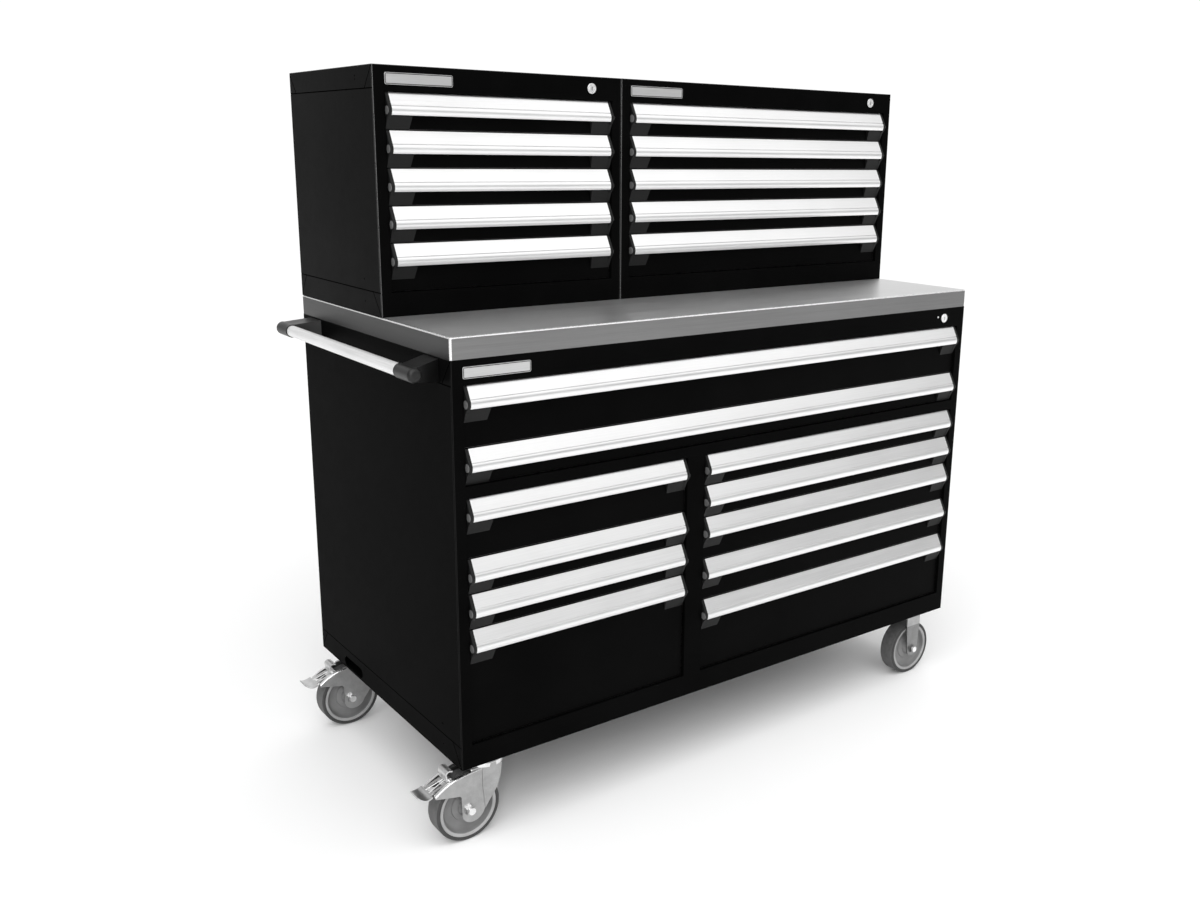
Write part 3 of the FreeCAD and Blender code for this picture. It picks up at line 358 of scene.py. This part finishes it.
MATERIALS = {
    "cabinet": powder_coat("cabinet_black", BLACK_PAINT, 0.36, CABINET_SPECULAR),
    "drawer": powder_coat("drawer_black", DRAWER_PAINT, 0.38, DRAWER_SPECULAR),
    # painted shade on the base's sides
    "side": powder_coat("cabinet_side_shaded_black", BLACK_PAINT * 1.5, 0.4, SHADED_SIDE_SPECULAR),
    # painted shade in the seam lines: a darker copy of the paint with no gloss
    "seam_shade": powder_coat("cabinet_seam_shade_black", BLACK_PAINT * 0.3, 0.6, 0.0),
    # painted highlights on bends and edges: lighter, glossier copies of the paint
    "edge_highlight": paint_edge_highlight("cabinet_edge_highlight", EDGE_HIGHLIGHT_PAINT, 0.9),
    "soft_edge_highlight": paint_edge_highlight("base_edge_highlight", SOFT_EDGE_HIGHLIGHT_PAINT, 0.12),
    "steel_top": brushed("worktop_top", WORKTOP_STEEL, 0.34, (0.012, 1, 1), 0.85, "X"),
    # painted shade on the skirts and a painted highlight on the bends
    "steel_skirt_shaded": brushed("worktop_skirt_shaded", SHADED_SKIRT_STEEL, 0.4, (0.012, 1, 1), 0.0, "Z"),
    "steel_side_shaded": brushed("worktop_side_skirt_shaded", SHADED_SIDE_SKIRT_STEEL, 0.4, (1, 0.012, 1), 0.0, "Z"),
    "steel_bend_highlight": brushed("worktop_bend_highlight", HIGHLIGHT_BENT_STEEL, 0.28, (0.1, 0.1, 1), 0.0, "Z"),
    "pull": satin_metal("pull_aluminium", PULL_METAL, 0.34, (0.01, 1, 1)),
    "tube": satin_metal("handle_aluminium", TUBE_METAL, 0.62, (1, 0.01, 1)),
    "zinc": zinc_plate("caster_zinc", ZINC, 0.34),
    # painted highlight on the zinc's folds, edges and axle ends
    "zinc_highlight": zinc_plate("caster_zinc_highlight", HIGHLIGHT_ZINC, 0.24),
    # painted shade on the caster mounts below their plates
    "leg_shade": zinc_plate("rigid_leg_zinc_shaded", SHADED_LEG_ZINC, 0.4),
    "brake": zinc_plate("brake_zinc", BRAKE_ZINC, 0.42),
    "runner": zinc_plate("runner_zinc", ZINC, 0.36),
    "cap": moulded_plastic("pull_cap_plastic", CAP_PLASTIC, 0.55, 1400.0, 0.2),
    # painted highlight on the pull knobs
    "knob_highlight": moulded_plastic("pull_knob_highlight_plastic", CAP_KNOB_HIGHLIGHT, 0.4, 1400.0),
    "bracket": moulded_plastic("handle_plastic", BRACKET_PLASTIC, 0.42, 1200.0),
    "core": moulded_plastic("wheel_core_nylon", CORE_NYLON, 0.48, 900.0),
    "rim": moulded_plastic("wheel_rim_highlight_nylon", RIM_HIGHLIGHT_NYLON, 0.4, 900.0),
    "badge": satin_metal("badge_metal", BADGE_METAL, 0.4, (0.02, 1, 1)),
    "enamel": moulded_plastic("badge_enamel", BADGE_ENAMEL, 0.3, 300.0),
    "tread": tread_rubber("tread_rubber", TREAD_RUBBER),
    "sidewall_shade": tread_rubber("sidewall_rubber_shaded", SHADED_SIDEWALL_RUBBER),
    "chrome": chrome("lock_chrome", LOCK_CHROME),
    # painted shade on the lock's plug and in its keyway
    "plug_shade": chrome("lock_plug_shade", SHADED_LOCK_PLUG),
    "keyway_shade": moulded_plastic("lock_keyway_shade", KEYWAY_SHADE, 0.5, 900.0),
}


# ---- the CAD nodes' finishes --------------------------------------------------------------
def paint(obj, *names):
    """Gives a CAD node these materials, the first one everywhere."""
    obj.data.materials.clear()
    for name in names:
        obj.data.materials.append(MATERIALS[name])
    for polygon in obj.data.polygons:
        polygon.material_index = 0


def paint_where(obj, index, test):
    """Gives the polygons that pass the test the material at that index."""
    vertices = obj.data.vertices
    for polygon in obj.data.polygons:
        corners = [vertices[i].co for i in polygon.vertices]
        if test(polygon, corners):
            polygon.material_index = index


def slanting(polygon, corners):
    """True for a bend or a rounded edge: a face square to none of the axes."""
    return max(abs(c) for c in polygon.normal) < SQUARE


def round_axis(corners, axis, reach):
    """True where all the corners lie within reach, in mm, of an axis along y."""
    return all(math.hypot(c.x - axis.x, c.z - axis.z) < reach * MM for c in corners)


def front_of(cabinet):
    """The level of a cabinet's front face; the base's is flush with the worktop's."""
    flush = "worktop" if cabinet == "base_cabinet" else cabinet
    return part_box(flush)[0].y


def paint_drawer_box(obj):
    """Painted sheet steel: flat faces, and the bends and edges, which take a painted highlight where
    they catch the light.
    """
    paint(obj, "drawer", "edge_highlight")
    paint_where(obj, 1, slanting)
    soften(obj, SHEET_EDGE)


def paint_cabinet(obj):
    """Powder coat with painted light: a lighter, glossier copy on the bends and edges as a painted
    highlight, a shaded copy on the base's sides and a darker one in the seam lines as painted shade,
    and the pin in its own chrome.
    """
    low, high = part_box(obj.name)
    side, edge_highlight = ("side", "soft_edge_highlight") if obj.name == "base_cabinet" else ("cabinet", "edge_highlight")
    front = front_of(obj.name)

    def deepest(corners):
        return max(min(c.x - low.x, high.x - c.x) for c in corners)

    def on_side(polygon, corners):
        return abs(polygon.normal.x) > SIDE_FACING and deepest(corners) < SIDE_FLAT * MM

    def in_seam(polygon, corners):
        above = min(c.z for c in corners) > low.z + SEAM_ABOVE * MM
        return above and SEAM_DEPTHS[0] * MM < deepest(corners) < SEAM_DEPTHS[1] * MM

    def on_pin(polygon, corners):
        return min(c.y for c in corners) < front - PIN_PROUD * MM

    paint(obj, "cabinet", edge_highlight, side, "seam_shade", "chrome")
    # bends and edges: painted highlight
    paint_where(obj, 1, slanting)
    paint_where(obj, 4, on_pin)
    # the base's sides: painted shade; the hutches' sides keep the cabinet paint
    paint_where(obj, 2, on_side)
    # the seam lines: painted shade
    paint_where(obj, 3, in_seam)


def paint_lock(obj):
    """A bright ring round a plug in a darker copy of the ring's chrome, a painted shade, with the
    keyway cut into it and painted near black, a painted shade in its recess.
    """
    low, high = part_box(obj.name)
    radius = (high.x - low.x) / 2
    axis = Vector(((low.x + high.x) / 2, 0, high.z - radius))

    def on_plug(polygon, corners):
        return round_axis(corners, axis, PLUG_RADIUS)

    def in_keyway(polygon, corners):
        narrow = all(abs(c.x - axis.x) < KEYWAY_HALF_WIDTH * MM for c in corners)
        short = all(abs(c.z - axis.z) < KEYWAY_HALF_HEIGHT * MM for c in corners)
        return narrow and short and max(c.y for c in corners) > low.y + KEYWAY_SINK * MM

    paint(obj, "chrome", "plug_shade", "keyway_shade")
    paint_where(obj, 1, on_plug)
    paint_where(obj, 2, in_keyway)


def paint_fork(obj):
    """Zinc sheet with a painted highlight, a lighter copy of the zinc, along its folds and rounded
    edges and on the axle's bolt ends and nuts; on the caster mounts, a darker copy below the plates
    is painted shade.
    """
    paint(obj, "zinc", "zinc_highlight", "leg_shade")
    paint_where(obj, 1, slanting)
    soften(obj, SHEET_EDGE)
    # below the mount plates, under the cabinet: painted shade
    if obj.name == "caster_mounts":
        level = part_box(obj.name)[1].z - MOUNT_PLATE_DEPTH * MM
        paint_where(obj, 2, lambda polygon, corners: max(c.z for c in corners) < level)
    for wheel_name in WHEELS:
        paint_axle_ends(obj, wheel_name)


def paint_axle_ends(obj, wheel_name):
    """Gives a fork's faces at the two ends of one wheel's axle the zinc's painted highlight."""
    inner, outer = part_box(wheel_name)
    axle = (Vector(inner) + Vector(outer)) / 2

    def on_end(polygon, corners):
        beyond = min(abs(c.y - axle.y) for c in corners) > AXLE_END_START * MM
        return beyond and round_axis(corners, axle, AXLE_END_RADIUS)

    paint_where(obj, 1, on_end)


def paint_pull(obj):
    """Aluminium bar, plastic end caps: a cap's faces lie wholly within its end of the pull. The knobs
    at the very ends take a lighter copy of the cap plastic, a painted highlight.
    """
    low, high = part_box(obj.name)

    def in_cap(polygon, corners):
        xs = [c.x for c in corners]
        return max(xs) < low.x + CAP_REACH * MM or min(xs) > high.x - CAP_REACH * MM

    def in_knob(polygon, corners):
        return all(min(c.x - low.x, high.x - c.x) < KNOB_REACH * MM for c in corners)

    paint(obj, "pull", "cap", "knob_highlight")
    paint_where(obj, 1, in_cap)
    paint_where(obj, 2, in_knob)


def paint_handle(obj):
    """Aluminium tube, plastic brackets: the tube's faces lie within its radius and its length."""
    low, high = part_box(obj.name)
    axis = Vector((low.x + TUBE_AXIS * MM, 0, (low.z + high.z) / 2))
    start = low.y + TUBE_START * MM
    end = high.y - TUBE_START * MM

    def on_tube(polygon, corners):
        return round_axis(corners, axis, TUBE_RADIUS) and all(start < c.y < end for c in corners)

    paint(obj, "bracket", "tube")
    paint_where(obj, 1, on_tube)


def paint_worktop(obj):
    """The grain runs along x on the top and the long skirts, and along y on the side skirts. The
    skirts take darker copies of the steel, a painted shade, and the bends a lighter one, a painted
    highlight.
    """
    paint(obj, "steel_top", "steel_skirt_shaded", "steel_side_shaded", "steel_bend_highlight")
    paint_where(obj, 1, lambda polygon, corners: abs(polygon.normal.y) > SKIRT_FACING)
    paint_where(obj, 2, lambda polygon, corners: abs(polygon.normal.x) > SKIRT_FACING)
    paint_where(obj, 3, slanting)


def paint_nodes():
    for name, obj in NODES.items():
        if name.endswith("_pull"):
            paint_pull(obj)
        elif name.endswith("_box"):
            paint_drawer_box(obj)
        elif name.endswith("_cabinet"):
            paint_cabinet(obj)
        elif name.endswith("_lock"):
            paint_lock(obj)
        elif name == "push_handle":
            paint_handle(obj)
        elif name == "worktop":
            paint_worktop(obj)
        elif name == "drawer_runners":
            paint(obj, "runner")
        elif name.startswith("brake_pedal"):
            # the brake's rounded edges take the zinc's painted highlight
            paint(obj, "brake", "zinc_highlight")
            soften(obj, BRAKE_EDGE)
        elif name.startswith("wheel_"):
            paint(obj, "tread")
        else:
            paint_fork(obj)


def soften(obj, width):
    """Rounds a node's sharp edges by width, in mm, with a modifier; its mesh stays as it is. The
    rounded faces take the node's second material, its painted highlight.
    """
    bevel = obj.modifiers.new("soft_edges", "BEVEL")
    bevel.width = width * MM
    bevel.segments = EDGE_SEGMENTS
    bevel.limit_method = "ANGLE"
    bevel.angle_limit = math.radians(EDGE_ANGLE)
    bevel.material = 1


# ---- new pieces ---------------------------------------------------------------------------
def finish_piece(name, mesh, material, body):
    """Turns a bmesh into a piece with its finish, riding on a body."""
    data = bpy.data.meshes.new(name)
    mesh.to_mesh(data)
    mesh.free()
    data.materials.append(MATERIALS[material])
    for polygon in data.polygons:
        polygon.use_smooth = True
    data.set_sharp_from_angle(angle=math.radians(SHARP_ANGLE))
    obj = bpy.data.objects.new(name, data)
    bpy.context.scene.collection.objects.link(obj)
    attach(obj, body)
    return obj


def lathe(profile, centre):
    """A closed (radius, along y) profile turned about the y axis through centre."""
    mesh = bmesh.new()
    rings = []
    for k in range(LATHE_STEPS):
        angle = 2 * math.pi * k / LATHE_STEPS
        ring = []
        for radius, along in profile:
            point = Vector((radius * math.cos(angle), along, radius * math.sin(angle)))
            ring.append(mesh.verts.new(centre + point))
        rings.append(ring)
    count = len(profile)
    for k in range(LATHE_STEPS):
        here = rings[k]
        there = rings[(k + 1) % LATHE_STEPS]
        for i in range(count):
            j = (i + 1) % count
            mesh.faces.new((here[i], here[j], there[j], there[i]))
    bmesh.ops.recalc_face_normals(mesh, faces=mesh.faces)
    return mesh


def arc_points(centre, radius, start, end, steps):
    """Points of an arc in a profile, angles in degrees."""
    points = []
    for k in range(steps + 1):
        angle = math.radians(start + (end - start) * k / steps)
        points.append((centre[0] + radius * math.cos(angle), centre[1] + radius * math.sin(angle)))
    return points


def both_sides(half_profile):
    """A (radius, along) profile of one side of a wheel, with its mirror image."""
    return half_profile + [(radius, -along) for radius, along in reversed(half_profile)]


def section(half_profile):
    """The whole closed section of a turned piece, in metres, from one half of it in mm."""
    return [(radius * MM, along * MM) for radius, along in both_sides(half_profile)]


def build_wheel(node):
    """Rubber tread whose walls take a darker copy of the rubber, a painted shade, dished nylon core
    whose rim takes a lighter copy of the nylon, a painted highlight, and zinc hub caps.
    """
    low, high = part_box(node)
    centre = (Vector(low) + Vector(high)) / 2
    tread_half = TREAD_SIDE + arc_points(**TREAD_SHOULDER) + TREAD_FACE
    core_half = CORE_HUB + CORE_BOSS + CORE_WEB + CORE_DISH + CORE_LIP
    tread = lathe(section(tread_half), centre)
    tread = finish_piece(f"{node}_tread", tread, "tread", node)
    # the tyre's walls: painted shade
    tread.data.materials.append(MATERIALS["sidewall_shade"])
    for polygon in tread.data.polygons:
        if abs(polygon.normal.y) > SIDEWALL_FACING:
            polygon.material_index = 1
    core = lathe(section(core_half), centre)
    core = finish_piece(f"{node}_core", core, "core", node)
    # the rim ring: a lighter copy of the core's nylon, a painted highlight
    core.data.materials.append(MATERIALS["rim"])
    for polygon in core.data.polygons:
        offset = polygon.center - centre
        if math.hypot(offset.x, offset.z) > RIM_START * MM:
            polygon.material_index = 1
    for side, label in ((-1, "outer"), (1, "inner")):
        cap = [(radius * MM, along * side * MM) for radius, along in HUB_CAP]
        name = f"{node}_bearing_{label}"
        finish_piece(name, lathe(cap, centre), "zinc", node)
    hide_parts(node)
    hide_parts(node)


def badge(name, cabinet, start):
    """A blank badge plate on a cabinet's top rail: bright metal with a dark line round its field."""
    low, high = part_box(cabinet)
    x0 = low.x + start
    middle = high.z - BADGE_DROP
    mesh = bmesh.new()
    rounded_plate(mesh, x0, middle, front_of(cabinet))
    bmesh.ops.recalc_face_normals(mesh, faces=mesh.faces)
    obj = finish_piece(name, mesh, "badge", "chest")
    obj.data.materials.append(MATERIALS["enamel"])
    first, last = BADGE_LINE
    for index in range(BADGE_STEPS * first, BADGE_STEPS * last):
        obj.data.polygons[index].material_index = 1


def rounded_plate(mesh, x0, middle, front):
    """Rings of a rounded rectangle: out to the rim, down into the line, up to the field."""
    length, height = BADGE_SIZE
    half_x = length / 2 - BADGE_CORNER
    half_z = height / 2 - BADGE_CORNER
    rings = []
    for inset, behind in BADGE_SECTION:
        radius = BADGE_CORNER - inset * MM
        ring = []
        for k in range(BADGE_STEPS):
            angle = 2 * math.pi * (k + 0.5) / BADGE_STEPS
            x = x0 + length / 2 + math.copysign(half_x, math.cos(angle)) + radius * math.cos(angle)
            z = middle + math.copysign(half_z, math.sin(angle)) + radius * math.sin(angle)
            ring.append(mesh.verts.new((x, front + behind * MM, z)))
        rings.append(ring)
    for here, there in zip(rings, rings[1:]):
        for k in range(BADGE_STEPS):
            after = (k + 1) % BADGE_STEPS
            mesh.faces.new((here[k], here[after], there[after], there[k]))
    mesh.faces.new(rings[0])
    mesh.faces.new(rings[-1])


# ---- floor, lights, camera ----------------------------------------------------------------
def studio_floor():
    mesh = bmesh.new()
    bmesh.ops.create_grid(mesh, x_segments=8, y_segments=8, size=14.0)
    data = bpy.data.meshes.new("studio_floor")
    mesh.to_mesh(data)
    mesh.free()
    data.materials.append(floor_material())
    floor = bpy.data.objects.new("studio_floor", data)
    bpy.context.scene.collection.objects.link(floor)


def softbox(name, place, target, size, power):
    data = bpy.data.lights.new(name, "AREA")
    data.shape = "RECTANGLE"
    data.size = size[0]
    data.size_y = size[1]
    data.energy = power
    light = bpy.data.objects.new(name, data)
    bpy.context.scene.collection.objects.link(light)
    light.location = place
    direction = Vector(target) - Vector(place)
    light.rotation_euler = direction.to_track_quat("-Z", "Y").to_euler()


def sun(name, place, power, spread):
    data = bpy.data.lights.new(name, "SUN")
    data.energy = power
    data.angle = math.radians(spread)
    light = bpy.data.objects.new(name, data)
    bpy.context.scene.collection.objects.link(light)
    light.rotation_euler = (-Vector(place)).to_track_quat("-Z", "Y").to_euler()


def studio_world():
    """A white backdrop on the far side of the chest, and a dimmer room on the near side."""
    world = bpy.data.worlds.new("studio")
    bpy.context.scene.world = world
    world.use_nodes = True
    tree = world.node_tree
    tree.nodes["Background"].inputs["Color"].default_value = (1, 1, 1, 1)
    coordinates = tree.nodes.new("ShaderNodeTexCoord")
    facing = tree.nodes.new("ShaderNodeVectorMath")
    facing.operation = "DOT_PRODUCT"
    facing.inputs[1].default_value = (math.sin(CAMERA_YAW), math.cos(CAMERA_YAW), 0)
    tone = tree.nodes.new("ShaderNodeMapRange")
    tone.interpolation_type = "SMOOTHSTEP"
    tone.inputs["From Min"].default_value = BACKDROP_EDGE[0]
    tone.inputs["From Max"].default_value = BACKDROP_EDGE[1]
    tone.inputs["To Min"].default_value = ROOM_TONE
    tone.inputs["To Max"].default_value = BACKDROP_TONE
    tree.links.new(coordinates.outputs["Generated"], facing.inputs[0])
    tree.links.new(facing.outputs["Value"], tone.inputs["Value"])
    tree.links.new(tone.outputs["Result"], tree.nodes["Background"].inputs["Strength"])


def camera():
    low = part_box("base_cabinet")[0]
    place = Vector((low.x, front_of("base_cabinet"), low.z)) + CAMERA_FROM_CORNER
    forward = Vector((
        math.sin(CAMERA_YAW) * math.cos(CAMERA_PITCH),
        math.cos(CAMERA_YAW) * math.cos(CAMERA_PITCH),
        math.sin(CAMERA_PITCH),
    ))
    level = Vector((math.cos(CAMERA_YAW), -math.sin(CAMERA_YAW), 0))
    upright = level.cross(forward)
    right = math.cos(CAMERA_ROLL) * level + math.sin(CAMERA_ROLL) * upright
    up = math.cos(CAMERA_ROLL) * upright - math.sin(CAMERA_ROLL) * level
    data = bpy.data.cameras.new("camera")
    data.sensor_width = CAMERA_SENSOR
    data.lens = CAMERA_LENS
    data.shift_x, data.shift_y = CAMERA_SHIFT
    data.clip_end = 100.0
    obj = bpy.data.objects.new("camera", data)
    bpy.context.scene.collection.objects.link(obj)
    turn = Matrix((right, up, -forward)).transposed().to_4x4()
    obj.matrix_world = Matrix.Translation(place) @ turn
    bpy.context.scene.camera = obj


paint_nodes()
for wheel_node in WHEELS:
    build_wheel(wheel_node)
for badge_name, (badge_cabinet, badge_start) in BADGES.items():
    badge(badge_name, badge_cabinet, badge_start)
studio_floor()
studio_world()
sun("sky", place=(-0.6, -0.7, 1.3), power=2.2, spread=70)
softbox("key", place=(2.4, -2.9, 4.2), target=(0, 0, 0.7), size=(4.2, 3.4), power=34)
softbox("rim", place=(-2.4, -3.0, 1.8), target=(-0.6, -0.3, 0.8), size=(0.4, 1.8), power=25)
camera()
bpy.context.scene.view_settings.view_transform = "Standard"
